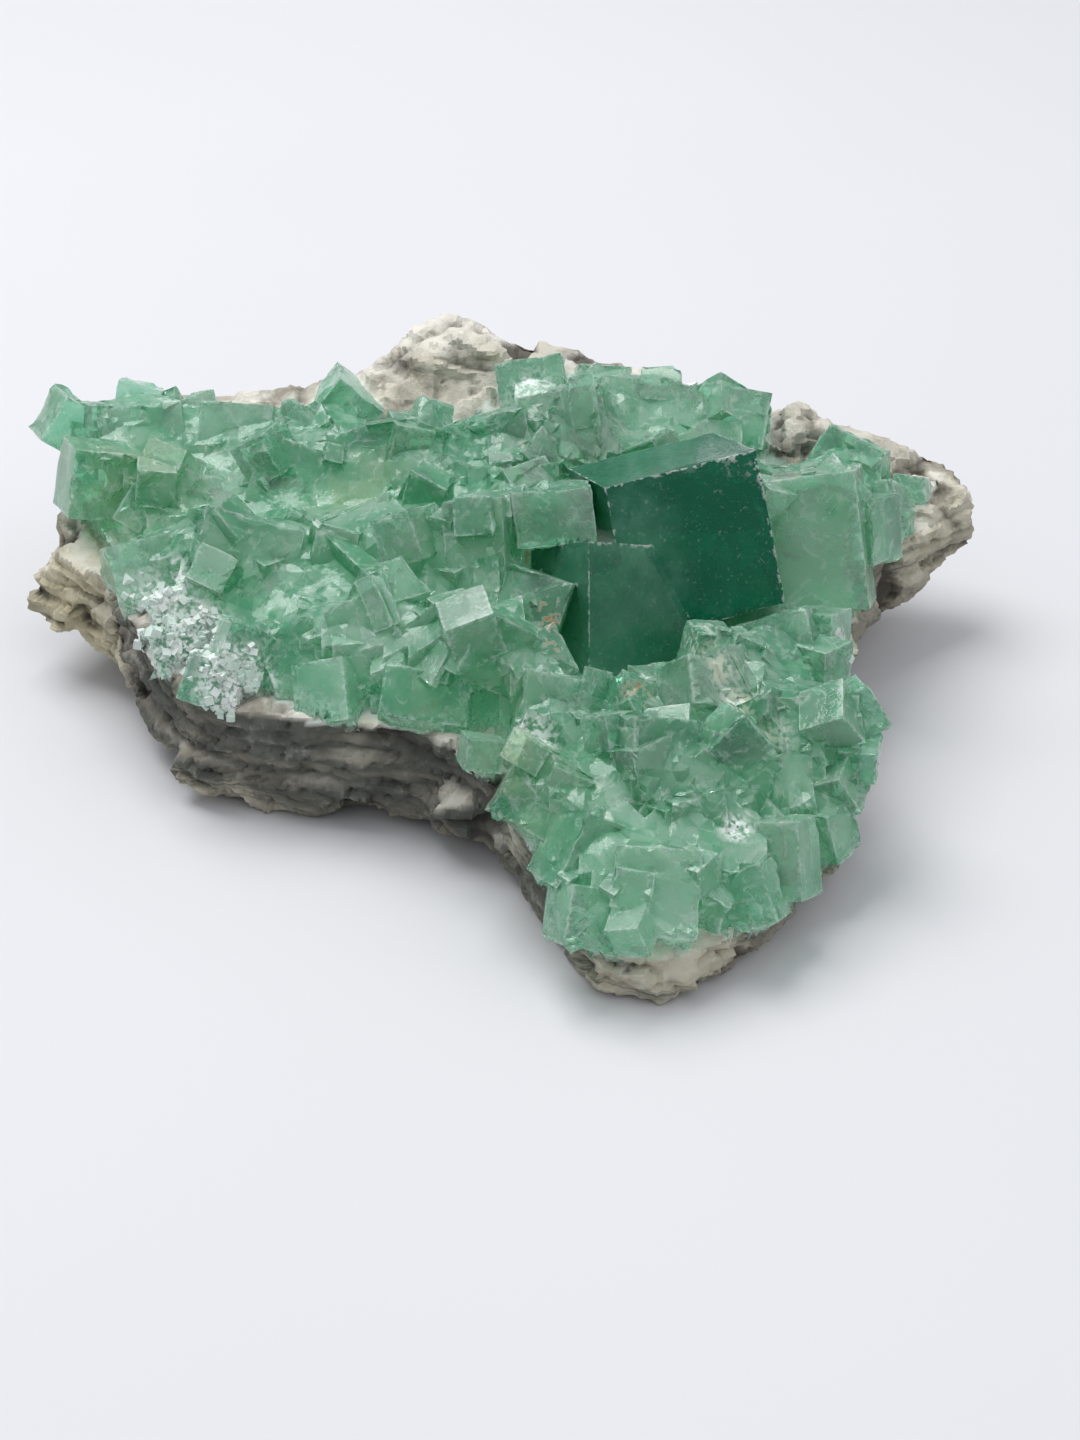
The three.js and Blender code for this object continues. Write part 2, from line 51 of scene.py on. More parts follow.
# One socket of a node tree. Sums and products of wires add Math nodes, and node() adds any other node.
class Wire:
    def __init__(self, tree, socket=None):
        self.tree = tree
        self.socket = socket

    def node(self, kind, settings=None, sockets=None, output=0):
        made = self.tree.nodes.new(kind)
        for name, value in (settings or {}).items():
            setattr(made, name, value)
        for key, value in (sockets or {}).items():
            wires = value if isinstance(value, list) else [value]
            for wire in wires:
                if isinstance(wire, Wire):
                    self.tree.links.new(wire.socket, made.inputs[key])
                else:
                    made.inputs[key].default_value = wire
        return Wire(self.tree, made.outputs[output] if made.outputs else None)

    def out(self, name):
        return Wire(self.tree, self.socket.node.outputs[name])

    def math(self, operation, *values):
        return self.node("ShaderNodeMath", {"operation": operation}, dict(enumerate(values)))

    def __add__(self, other):
        return self.math("ADD", self, other)

    def __sub__(self, other):
        return self.math("SUBTRACT", self, other)

    def __rsub__(self, other):
        return self.math("SUBTRACT", other, self)

    def __mul__(self, other):
        return self.math("MULTIPLY", self, other)

    def __pow__(self, other):
        return self.math("POWER", self, other)

    __radd__ = __add__
    __rmul__ = __mul__

    def most(self, other):
        return self.math("MAXIMUM", self, other)

    def ease(self, low, high):
        limits = {"Value": self, "From Min": low, "From Max": high}
        return self.node("ShaderNodeMapRange", {"interpolation_type": "SMOOTHSTEP"}, limits)

    def mixed(self, first, second):
        return self.node("ShaderNodeMix", {"data_type": "RGBA"}, {0: self, 6: first, 7: second}, 2)

    def scaled(self, factors):
        return self.node("ShaderNodeVectorMath", {"operation": "MULTIPLY"}, {0: self, 1: factors})

    def cloud(self, size, detail=3.0, rough=0.5, warp=0.0):
        look = {"Scale": 1 / size, "Detail": detail, "Roughness": rough, "Distortion": warp}
        return self.node("ShaderNodeTexNoise", None, {"Vector": self, **look})

    def painted(self, name):
        return self.node("ShaderNodeAttribute", {"attribute_name": name}, None, "Fac")

    # The rest are for geometry trees.
    def attribute(self, name, kind="FLOAT"):
        return self.node("GeometryNodeInputNamedAttribute", {"data_type": kind}, {"Name": name})

    def between(self, low, high, seed):
        limits = {2: low, 3: high, "Seed": seed}
        return self.node("FunctionNodeRandomValue", {"data_type": "FLOAT"}, limits, 1)

    def anyTurn(self, seed):
        limits = {0: (0, 0, 0), 1: (math.tau, math.tau, math.tau), "Seed": seed}
        turn = self.node("FunctionNodeRandomValue", {"data_type": "FLOAT_VECTOR"}, limits)
        return self.node("FunctionNodeEulerToRotation", None, {"Euler": turn})

    def sunk(self, depth):
        below = {0: self.out("Normal"), "Scale": depth * -1}
        below = self.node("ShaderNodeVectorMath", {"operation": "SCALE"}, below)
        return self.node("GeometryNodeSetPosition", None, {"Geometry": self, "Offset": below})

    def placed(self, shape, rotation, scale):
        each = {"Points": self, "Instance": shape, "Rotation": rotation, "Scale": scale}
        return self.node("GeometryNodeInstanceOnPoints", None, each)


def newMaterial(name):
    material = bpy.data.materials.new(name)
    material.use_nodes = True
    material.node_tree.nodes.clear()
    return material, Wire(material.node_tree)


def mergedCopy(node):
    bm = bmesh.new()
    bm.from_mesh(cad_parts[node].data)
    bmesh.ops.remove_doubles(bm, verts=bm.verts, dist=0.0005 * mm)
    return bm


def meshObject(name, bm):
    mesh = bpy.data.meshes.new(name)
    bm.to_mesh(mesh)
    piece = bpy.data.objects.new(name, mesh)
    bpy.context.scene.collection.objects.link(piece)
    return piece


# Turns what the modifiers make into a plain mesh, and takes the modifiers off.
def settle(piece):
    view = bpy.context.evaluated_depsgraph_get()
    mesh = bpy.data.meshes.new_from_object(piece.evaluated_get(view), depsgraph=view)
    piece.modifiers.clear()
    piece.data = mesh
    return piece


# Halves each triangle across its longest side until no side is longer than the limit.
def splitLongSides(bm, longest, passes):
    bmesh.ops.triangulate(bm, faces=bm.faces[:])
    bm.verts.index_update()
    points = [vert.co.copy() for vert in bm.verts]
    triangles = [[vert.index for vert in face.verts] for face in bm.faces]
    for _ in range(passes):
        middles = {}
        for triangle in triangles:
            sides = [(points[triangle[i]] - points[triangle[i - 1]]).length for i in range(3)]
            most = max(range(3), key=lambda i: sides[i])
            if sides[most] > longest:
                middles[frozenset((triangle[most], triangle[most - 1]))] = None
        if not middles:
            break
        for side in middles:
            first, second = sorted(side)
            middles[side] = len(points)
            points.append((points[first] + points[second]) / 2)
        split = []
        for triangle in triangles:
            split += splitTriangle(points, triangle, middles)
        triangles = split
    bm.clear()
    verts = [bm.verts.new(point) for point in points]
    alike = {}
    for triangle in triangles:
        alike.setdefault(frozenset(triangle), []).append(triangle)
    for same in alike.values():
        if len(same) % 2:  # two that lie back to back cancel out
            bm.faces.new([verts[index] for index in same[0]])
    loose = [vert for vert in bm.verts if not vert.link_faces]
    bmesh.ops.delete(bm, geom=loose, context="VERTS")
    bm.verts.index_update()
    bm.normal_update()


def splitTriangle(points, triangle, middles):
    cuts = [middles.get(frozenset((triangle[i], triangle[(i + 1) % 3]))) for i in range(3)]
    found = [i for i in range(3) if cuts[i] is not None]
    if not found:
        return [triangle]
    if len(found) == 3:
        a, b, c = triangle
        ab, bc, ca = cuts
        return [[a, ab, ca], [ab, b, bc], [ca, bc, c], [ab, bc, ca]]
    if len(found) == 1:
        i = found[0]
        a, b, c = triangle[i], triangle[(i + 1) % 3], triangle[(i + 2) % 3]
        return [[a, cuts[i], c], [cuts[i], b, c]]
    i = next(i for i in found if (i + 1) % 3 in found)  # the corner between the two cut sides comes second
    a, b, c = triangle[i], triangle[(i + 1) % 3], triangle[(i + 2) % 3]
    ab, bc = cuts[i], cuts[(i + 1) % 3]
    if (points[ab] - points[c]).length < (points[a] - points[bc]).length:
        return [[ab, b, bc], [a, ab, c], [ab, bc, c]]
    return [[ab, b, bc], [a, ab, bc], [a, bc, c]]


# How near a place is to the spots of each mark, from 0 to 1.
def markNearness(place, marks):
    near = {}
    spot = tuple(place / mm)
    for name, spots in marks.items():
        best = 0.0
        for x, y, z, reach in spots:
            best = max(best, 1 - math.dist(spot, (x, y, z)) / reach)
        near[name] = best
    return near


def writeLayer(mesh, name, domain, values):
    layer = mesh.attributes.new(name, "FLOAT", domain)
    layer.data.foreach_set("value", values)


# Height of a rough break: each cell of it is a small flat facet with its own tilt.
def breakHeight(place, cell, tilt):
    spot = place / cell
    corner = noise.voronoi(spot)[1][0]
    way = noise.noise_vector(corner * 7.3)
    return (spot - corner).dot(way) * cell * tilt


def clamp(value):
    return max(0.0, min(1.0, value))


# Geometry node trees

def newTree(name, inputs):
    tree = bpy.data.node_groups.new(name, "GeometryNodeTree")
    tree.interface.new_socket("Geometry", in_out="INPUT", socket_type="NodeSocketGeometry")
    tree.interface.new_socket("Geometry", in_out="OUTPUT", socket_type="NodeSocketGeometry")
    for label, kind in inputs.items():
        tree.interface.new_socket(label, in_out="INPUT", socket_type="NodeSocket" + kind)
    return tree, Wire(tree).node("NodeGroupInput")


def runTree(piece, tree, last, values):
    tree.links.new(last.socket, tree.nodes.new("NodeGroupOutput").inputs[0])
    modifier = piece.modifiers.new(tree.name, "NODES")
    modifier.node_group = tree
    for item in tree.interface.items_tree:
        if item.in_out == "INPUT" and item.name in values:
            modifier[item.identifier] = values[item.name]
    return settle(piece)


# Fluorite: clear green stone, milky in clouds, frosted and stained where crystals meet, with painted
# glints on its edges, painted shade in its seams and a painted sheen on the great dark cube

fluoriteLook = {
    "transmission": 0.74,
    "ior": 1.434,
    "absorbColour": (0.10, 0.74, 0.47, 1),
    "absorbDensity": 140,  # per metre
    "clear": (0.60, 0.93, 0.74, 1),
    "milky": (0.78, 0.96, 0.86, 1),
    "dark": (0.20, 0.58, 0.38, 1),
    "deep": (0.0, 0.23, 0.125, 1),
    "core": (0.006, 0.14, 0.074, 1),  # the dark cubes are nearly solid with colour
    "coreCover": 0.45,  # share that light doesn't pass through
    "sheenColour": (0.09, 0.29, 0.195, 1),
    "frostAndGlint": (0.94, 0.97, 0.95, 1),
    "cream": (0.83, 0.77, 0.60, 1),
    "rust": (0.46, 0.20, 0.06, 1),
    "olive": (0.70, 0.76, 0.45, 1),
    "frostAndGlintCover": 0.7,  # how much of the stone the frost with its painted edge glints, stain and rust hide
    "stainCover": 0.7,
    "rustCover": 0.75,
    "bump": 0.16,
    "bumpDepth": 0.2 * mm,
    "filmRough": 0.3,
    "darkGloss": 0.2,  # taken off that on the dark cubes
    "sheenShare": 0.7,  # of the painted sheen's greyer green in the dark cubes
    "dustShare": 0.2,
    "veinShare": 0.3,
    "veinFrost": 0.12,
    "cloudSize": 5.0 * mm,
    "fleckSize": 1.1 * mm,
    "speckSize": 0.4 * mm,
    "dustSize": 0.3 * mm,
    "veinSize": 4.2 * mm,  # of the healed cracks inside the crystals
}
# places of the marks and how far they reach, in millimetres
fluoriteMarks = {
    "rust": [(10.6, -17.5, 14.7, 2.4), (4.1, -7.7, 16.6, 2.2), (2.3, 4.1, 15.0, 2.6),
             (4.5, -9.4, 15.0, 2.0), (-25.2, 20.1, 16.0, 3.0), (7.0, 12.0, 18.5, 2.5)],
    "cream": [(17.2, -15.9, 16.2, 2.6), (18.6, -18.0, 14.2, 2.8), (16.0, -9.1, 14.4, 3.0),
              (-30.9, 12.3, 14.6, 3.5), (21.0, -20.0, 12.5, 2.5)],
    "sugar": [(9.0, 24.0, 19.0, 4.0), (3.0, 27.0, 19.0, 4.0), (-27.5, -1.5, 14.3, 5.0),
              (-24.5, -5.4, 12.8, 5.0), (-20.7, -10.9, 12.2, 4.5), (27.5, -5.9, 11.6, 3.0),
              (2.6, -21.9, 13.4, 3.0), (17.7, -28.4, 9.6, 2.0), (16.4, 3.2, 24.2, 2.0),
              (18.6, 3.0, 24.2, 2.2), (20.6, 2.8, 23.9, 1.8)],
    # painted sheen: a greyer, lighter patch on the upper front of the great dark cube, where it reflects
    # the light
    "sheen": [(9.5, -1.5, 20.5, 7.0), (13.0, -3.5, 17.5, 5.0)],
    "olive": [(1.8, -25.6, 13.0, 7.0), (-1.6, -14.3, 10.6, 7.0), (-31.5, 12.9, 18.0, 8.0),
              (-12.0, 12.0, 17.0, 6.0)],
    "pale": [(14.8, -16.7, 13.8, 5.0), (-10.4, -10.1, 15.4, 6.0), (11.2, -35.2, 8.8, 8.0),
             (19.6, -29.7, 7.8, 5.0), (-24.0, 16.0, 17.5, 6.0), (-2.0, 4.0, 17.0, 6.0),
             (4.0, 24.0, 19.0, 9.0), (14.0, 25.0, 18.0, 8.0), (26.0, 4.0, 17.0, 9.0)],
}
grainMarks = {
    "grainy": [(-27.8, -1.5, 14.3, 3.8), (-25.0, -5.4, 12.8, 3.9), (-21.2, -10.9, 12.2, 3.3),
               (27.5, -5.9, 11.6, 2.0)],
}


def fluoriteMaterial(look):
    material, tree = newMaterial("fluorite")
    place = tree.node("ShaderNodeTexCoord", None, None, "Object")
    cloud = place.cloud(look["cloudSize"], 3, 0.6)
    fleck = place.cloud(look["fleckSize"], 2, 0.65)
    speck = place.cloud(look["speckSize"], 1, 0.6)
    tone = place.painted("tone")
    seam = place.painted("seam")
    edge = place.painted("edge")
    deep = place.painted("deep")
    rim = place.painted("rim")
    marks = {name: place.painted(name) for name in fluoriteMarks}

    light = tone * 0.3 + cloud - 0.15 + marks["pale"] * 0.5
    body = light.ease(0.2, 0.75).mixed(look["dark"], look["clear"])
    milk = (cloud + tone * 0.3 + marks["pale"] * 0.25).ease(0.6, 0.9)
    body = (milk * 0.8).mixed(body, look["milky"])
    body = (marks["olive"] * cloud.ease(0.35, 0.6) * 0.7).mixed(body, look["olive"])
    # painted shade: darker green close to the folded-in seams between crystals
    body = (seam.ease(0.2, 1.0) * 0.5).mixed(body, look["dark"])
    body = (speck.ease(0.52, 0.75) * 0.35).mixed(body, look["milky"])
    vein = place.cloud(look["veinSize"], 4, 0.6, 0.7)
    vein = vein.ease(0.455, 0.5) * (1 - vein.ease(0.5, 0.545)) * fleck.ease(0.35, 0.6)
    body = (vein * look["veinShare"]).mixed(body, look["milky"])
    # painted sheen: lightens and greys the great dark cube's upper front
    sheenPatch = marks["sheen"].ease(0.0, 0.8) * (cloud * 0.7 + fleck * 0.3).ease(0.3, 0.62)
    body = (deep * (0.97 - sheenPatch * 0.3)).mixed(body, look["deep"])
    # frost with painted edge glints, crust of stain and rust hide the clear stone under them
    patchy = (speck * 0.6 + fleck * 0.4).ease(0.38, 0.58)
    # painted highlight: white glints along the sharp crystal edges, stronger on the dark cubes
    edgeGlint = edge ** 2 * (0.4 + deep * 0.4)
    sugar = marks["sugar"].ease(0.05, 0.7) * (1 - deep * 0.6)
    frostAndGlint = (edgeGlint + rim * 0.35 + sugar) * patchy
    frostAndGlint = frostAndGlint.most(vein * (1 - deep) * look["veinFrost"])
    crumbs = (speck * 0.5 + fleck * 0.5 + seam * 0.12).ease(0.44, 0.62)
    stain = seam ** 2 * (cloud + fleck).ease(1.15, 1.35)
    stain = stain.most(marks["cream"].ease(0.05, 0.9) * crumbs * 0.8)
    rust = marks["rust"].ease(0.1, 0.7) * (speck * 0.5 + fleck * 0.5 + seam * 0.2).ease(0.54, 0.68)
    cover = rust.mixed(stain.mixed(look["frostAndGlint"], look["cream"]), look["rust"])

    rough = 0.05 + 0.12 * cloud.ease(0.5, 0.75) + 0.1 * tone
    bump = tree.node("ShaderNodeBump", None, {
        "Strength": look["bump"], "Distance": look["bumpDepth"], "Height": speck + fleck,
    })
    stone = tree.node("ShaderNodeBsdfPrincipled", None, {
        "Base Color": body, "Roughness": rough, "Normal": bump,
        "IOR": look["ior"], "Transmission Weight": look["transmission"],
    })
    hidden = (frostAndGlint * look["frostAndGlintCover"]).most(stain * look["stainCover"]).most(rust * look["rustCover"])
    # the dark cubes are mottled, carry a painted sheen of greyer green on the upper front, and are dusted
    # with fine specks
    core = deep * (1 - frostAndGlint) * look["coreCover"]
    coreColour = (cloud.ease(0.42, 0.64) * 0.5).mixed(look["core"], look["deep"])
    coreColour = (sheenPatch * look["sheenShare"]).mixed(coreColour, look["sheenColour"])
    dust = place.cloud(look["dustSize"], 1, 0.5).ease(0.62, 0.72) * fleck.ease(0.4, 0.6)
    coreColour = (dust * look["dustShare"]).mixed(coreColour, look["frostAndGlint"])
    cover = (core - hidden).ease(-0.1, 0.2).mixed(cover, coreColour)
    hidden = hidden.most(core)
    film = tree.node("ShaderNodeBsdfPrincipled", None, {
        "Base Color": cover, "Roughness": look["filmRough"] - deep * look["darkGloss"], "Normal": bump,
    })
    surface = tree.node("ShaderNodeMixShader", None, {0: hidden, 1: stone, 2: film})
    inside = tree.node("ShaderNodeVolumeAbsorption", None,
                       {"Color": look["absorbColour"], "Density": look["absorbDensity"]})
    tree.node("ShaderNodeOutputMaterial", None, {"Surface": surface, "Volume": inside})
    return material


# Rock: cream to tan, with grey-brown streaks along its layers, pale ledges, painted shade in its hollows,
# and a left-front wall darkened partly by painted shade

rockLook = {
    "cream": (0.50, 0.47, 0.37, 1),
    "tan": (0.27, 0.25, 0.20, 1),
    "grey": (0.085, 0.092, 0.08, 1),
    "white": (0.78, 0.75, 0.69, 1),
    "dark": (0.045, 0.04, 0.034, 1),
    "yellow": (0.66, 0.60, 0.38, 1),
    "underCrust": (0.66, 0.70, 0.64, 1),
    "streakStretch": (70, 70, 620),  # layers lie nearly flat, so the pattern is drawn out sideways
    "patchSize": 7 * mm,
    "grainSize": 0.8 * mm,
    "fineSize": 0.25 * mm,
    "bump": 0.7,
    "bumpDepth": 0.3 * mm,
    "roughness": 0.92,
    "sugarGloss": 0.3,
    "specular": 0.35,
}
rockMarks = {
    "cream": [(7.7, -35.9, 2.8, 7.0), (13.5, -37.2, 2.8, 7.0), (38.4, 18.7, 11.0, 9.0),
              (-21.6, -12.0, 1.5, 6.0)],
    "yellow": [(-36.1, 9.8, 8.0, 9.0)],
    # the grey marks darken the left-front wall: partly its own grey-brown, partly painted shade
    "grey": [(-15.6, -13.0, 7.0, 14.0), (-4.5, -16.1, 7.0, 14.0), (3.3, -29.3, 5.0, 9.0),
             (-28.0, -3.0, 8.0, 9.0)],
}


def rockMaterial(look):
    material, tree = newMaterial("layeredRock")
    place = tree.node("ShaderNodeTexCoord", None, None, "Object")
    patch = place.cloud(look["patchSize"], 5, 0.65, 0.3)
    grain = place.cloud(look["grainSize"], 4, 0.7)
    fine = place.cloud(look["fineSize"], 2, 0.6)
    streak = place.scaled(look["streakStretch"]).cloud(1, 6, 0.68, 0.9)
    hollow = place.painted("hollow")
    wall = place.painted("wall")
    sugar = place.painted("sugar")
    covered = place.painted("covered")
    marks = {name: place.painted(name) for name in rockMarks}

    pale = (patch + marks["cream"] * 0.25 - marks["grey"] * 0.12).ease(0.38, 0.62)
    body = pale.mixed(look["tan"], look["cream"])
    # grey-brown streaks along the layers on the walls; near the grey marks they are also painted shade
    layer = (streak + marks["grey"] * 0.32 - marks["cream"] * 0.12).ease(0.44, 0.64)
    body = (layer * wall * 0.9).mixed(body, look["grey"])
    body = (marks["yellow"] * 0.7).mixed(body, look["yellow"])
    body = (sugar * patch.ease(0.35, 0.55) * 0.75).mixed(body, look["white"])
    body = ((1 - hollow).ease(0.55, 0.95) * grain.ease(0.42, 0.62) * 0.38).mixed(body, look["white"])
    # painted shade: nearly black down in the hollows of the rough surface
    body = (hollow.ease(0.48, 0.9) * 0.85).mixed(body, look["dark"])
    body = covered.mixed(body, look["underCrust"])
    bump = tree.node("ShaderNodeBump", None, {
        "Strength": look["bump"], "Distance": look["bumpDepth"], "Height": grain * 0.6 + fine * 0.4,
    })
    surface = tree.node("ShaderNodeBsdfPrincipled", None, {
        "Base Color": body, "Roughness": look["roughness"] - look["sugarGloss"] * sugar * grain,
        "Normal": bump, "Specular IOR Level": look["specular"],
    })
    tree.node("ShaderNodeOutputMaterial", None, {"Surface": surface})
    return material


# Crystals

crust = {
    "flatCosine": math.cos(math.radians(2)),  # faces that turn less than this are one crystal face
    "creviceAngle": math.radians(25),
    "cornerAngle": 1.0,  # radians; a crystal's own edges are sharper
    "sameWay": 0.996,  # cosine; edges nearer than this run the same way
    "upward": 0.1,  # least upward part of the normal of a face that carries more
    "rimSpare": 1.0 * mm,  # growth keeps this far inside the crust's rim
    "topGap": 0.6 * mm,  # a face this far above the rock can carry more crystals
    "plateDensity": 9000,  # growth steps, per square metre
    "plateSpan": (0.35, 0.8),  # of the face they lie on
    "plateThick": (0.12 * mm, 0.6 * mm),
    "plateSmallestFace": 4.0,  # square millimetres
    "plateLargestFace": 75.0,
    "twinDensity": 36000,
    "twinDepth": 1.6 * mm,  # their middles lie this far under the face
    "twinSize": (2.2 * mm, 4.2 * mm),
    "budSpacing": 4.5 * mm,
    "budSize": (0.6 * mm, 2.6 * mm),
    "budPower": 2.5,  # most are small
    "seed": 7,
    "cleanAngle": math.radians(0.5),
    "finest": 0.9 * mm,  # longest side of a triangle
    "splitPasses": 14,
    "buryReach": 0.75 * mm,  # what is this near the rock goes down into it
    "bury": 0.9 * mm,
    "seamReach": 0.9 * mm,
    "edgeAngle": 0.6,  # radians
    "seamAngle": 0.4,
    "chip": 0.16 * mm,
    "chipGrain": 2.6 * mm,
    "edgeWear": 0.02 * mm,
    "mostWear": 0.25 * mm,
    "wave": 0.03 * mm,
    "waveGrain": 2.5 * mm,
    "cubeSpare": 0.3 * mm,  # round a dark cube, still its colour
    "evenFace": 0.35,  # roughness of a whole face, against 1 on a break
    "evenDarkFace": 0.12,
    "brokenShare": 0.45,  # of the crystal faces are rough breaks
    "breakCell": 3.2 * mm,
    "breakTilt": 0.3,
    "rimReach": 2.2 * mm,
    "scrapCorners": 100,
    "grainyGain": 2.2,
    "smoothAngle": math.radians(22),
}
filling = {
    "cell": 1.0 * mm,
    "reach": 3.4 * mm,
    "rise": 0.55 * mm,
    "deepest": 3.2 * mm,
    "within": 0.93,  # share of the cells around that are crystal too
    "clear": 2.2 * mm,  # round the two dark cubes
    "roughGrain": 3.1 * mm,
    "roughShare": 0.3,  # of a cell
    "thickness": (1.0 * mm, 3.0 * mm),  # the least, and that where no rock lies below
}
# centre, edges, turn, lean and roll, and depth of colour of the two dark cubes
darkCubes = [
    ((14.521, 5.150, 16.8), (13, 12, 13), (17, 15, -12), 1.0),
    ((8.921, -2.450, 12.5), (10, 8, 12.5), (36, 33, 0), 0.62),
]


def cubeFrames():
    frames = []
    for centre, edges, (turn, lean, roll), depth in darkCubes:
        angles = ((roll, "Y"), (-lean, "X"), (turn, "Z"))
        rolled, leant, turned = (Matrix.Rotation(math.radians(angle), 3, axis) for angle, axis in angles)
        spin = rolled @ leant @ turned
        frames.append((Vector(centre) * mm, Vector(edges) * mm / 2, spin.transposed(), depth))
    return frames


def insideCube(place, cube, spare):
    middle, half, back, _ = cube
    inside = back @ (place - middle)
    return all(abs(inside[i]) < half[i] + spare for i in range(3))


def flatRegions(bm):
    bm.faces.ensure_lookup_table()
    bm.faces.index_update()
    seen = set()
    regions = []
    for start in bm.faces:
        if start.index in seen:
            continue
        seen.add(start.index)
        group, waiting = [], [start]
        while waiting:
            face = waiting.pop()
            group.append(face)
            for edge in face.edges:
                for other in edge.link_faces:
                    flat = other.normal.dot(start.normal) > crust["flatCosine"]
                    if flat and other.index not in seen:
                        seen.add(other.index)
                        waiting.append(other)
        regions.append(group)
    return regions


# The direction that a crystal face's own edges run in: its longest run of outer corners.
def edgeDirection(group):
    members = {face.index for face in group}
    runs = []
    for face in group:
        for edge in face.edges:
            inner = all(other.index in members for other in edge.link_faces)
            if inner or not edge.is_manifold or edge.calc_face_angle_signed(0) < crust["cornerAngle"]:
                continue
            way = edge.verts[1].co - edge.verts[0].co
            length = way.length
            for run in runs:
                if length and abs(run[0].dot(way)) > crust["sameWay"] * length:
                    run[1] += length
                    break
            else:
                if length:
                    runs.append([way / length, length])
    if not runs:
        return group[0].edges[0].verts[1].co - group[0].edges[0].verts[0].co
    return max(runs, key=lambda run: run[1])[0]


def markFaces(bm, rockTree, levels):
    direction = bm.faces.layers.float_vector.new("edgeDir")
    span = bm.faces.layers.float.new("span")
    for group in flatRegions(bm):
        area = sum(face.calc_area() for face in group) / mm ** 2
        centre = sum((face.calc_center_median() for face in group), Vector()) / len(group)
        gap = rockTree.find_nearest(centre)[3]
        fits = crust["plateSmallestFace"] < area < crust["plateLargestFace"]
        carries = fits and gap > crust["topGap"] and group[0].normal.z > crust["upward"]
        carries = carries and isInner(centre, levels, crust["rimSpare"])
        way = edgeDirection(group)
        for face in group:
            face[direction] = way
            face[span] = math.sqrt(area) * mm if carries else 0


def creviceLines(bm, levels):
    lines = bmesh.new()
    for edge in bm.edges:
        if not edge.is_manifold or edge.calc_face_angle_signed(0) > -crust["creviceAngle"]:
            continue
        middle = (edge.verts[0].co + edge.verts[1].co) / 2
        if isInner(middle, levels, crust["rimSpare"] / 3):
            lines.edges.new([lines.verts.new(vert.co) for vert in edge.verts])
    bmesh.ops.remove_doubles(lines, verts=lines.verts, dist=0.001 * mm)
    return lines


crustLow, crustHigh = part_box("fluorite_crystals")


# Heights, on a grid, of a sheet that lies among the crystals' tops, where crystals lie all round.
def crustLevels(crustTree):
    low, high = crustLow, crustHigh
    cubes = cubeFrames()
    cell = filling["cell"]
    tops = {}
    for i in range(int((high.x - low.x) / cell) + 1):
        for j in range(int((high.y - low.y) / cell) + 1):
            start = Vector((low.x + i * cell, low.y + j * cell, high.z + mm))
            hit = crustTree.ray_cast(start, Vector((0, 0, -1)))[0]
            if hit and not any(insideCube(hit, cube, filling["clear"]) for cube in cubes):
                tops[i, j] = hit.z
    reach = int(filling["reach"] / cell)
    steps = range(-reach, reach + 1)
    near = [(a, b) for a in steps for b in steps if a * a + b * b <= reach ** 2]
    levels = {}
    for (i, j), top in tops.items():
        around = [tops[i + a, j + b] for a, b in near if (i + a, j + b) in tops]
        if len(around) > filling["within"] * len(near):
            wanted = sum(around) / len(around) + filling["rise"]
            levels[i, j] = min(wanted, top + filling["deepest"])
    return levels


# True where the sheet also goes on for the spare distance to all four sides of the place.
def isInner(place, levels, spare):
    for x, y in ((0, 0), (spare, 0), (-spare, 0), (0, spare), (0, -spare)):
        column = round((place.x + x - crustLow.x) / filling["cell"])
        row = round((place.y + y - crustLow.y) / filling["cell"])
        if (column, row) not in levels:
            return False
    return True


# Massive fluorite between the crystals: a rough sheet at those heights, down to the rock.
def fillingSolid(levels, rockTree):
    cell = filling["cell"]
    least, hanging = filling["thickness"]
    bm = bmesh.new()
    uppers, lowers = {}, {}
    for (i, j), level in levels.items():
        spot = Vector((crustLow.x + i * cell, crustLow.y + j * cell, level))
        top = spot + noise.noise_vector(spot / filling["roughGrain"]) * cell * filling["roughShare"]
        floor = rockTree.ray_cast(Vector((top.x, top.y, level)), Vector((0, 0, -1)))[0]
        bottom = min(floor.z if floor else level - hanging, level - least)
        uppers[i, j] = bm.verts.new(top)
        lowers[i, j] = bm.verts.new((top.x, top.y, bottom))
    sides = set()
    for i, j in levels:
        loop = [(i, j), (i + 1, j), (i + 1, j + 1), (i, j + 1)]
        if all(key in levels for key in loop):
            bm.faces.new([uppers[key] for key in loop])
            bm.faces.new([lowers[key] for key in reversed(loop)])
            sides.update((loop[k], loop[(k + 1) % 4]) for k in range(4))
    for first, second in sorted(sides):
        if (second, first) not in sides:
            bm.faces.new([uppers[second], uppers[first], lowers[first], lowers[second]])
    loose = [vert for vert in bm.verts if not vert.link_faces]
    bmesh.ops.delete(bm, geom=loose, context="VERTS")
    bmesh.ops.triangulate(bm, faces=bm.faces[:])
    return bm


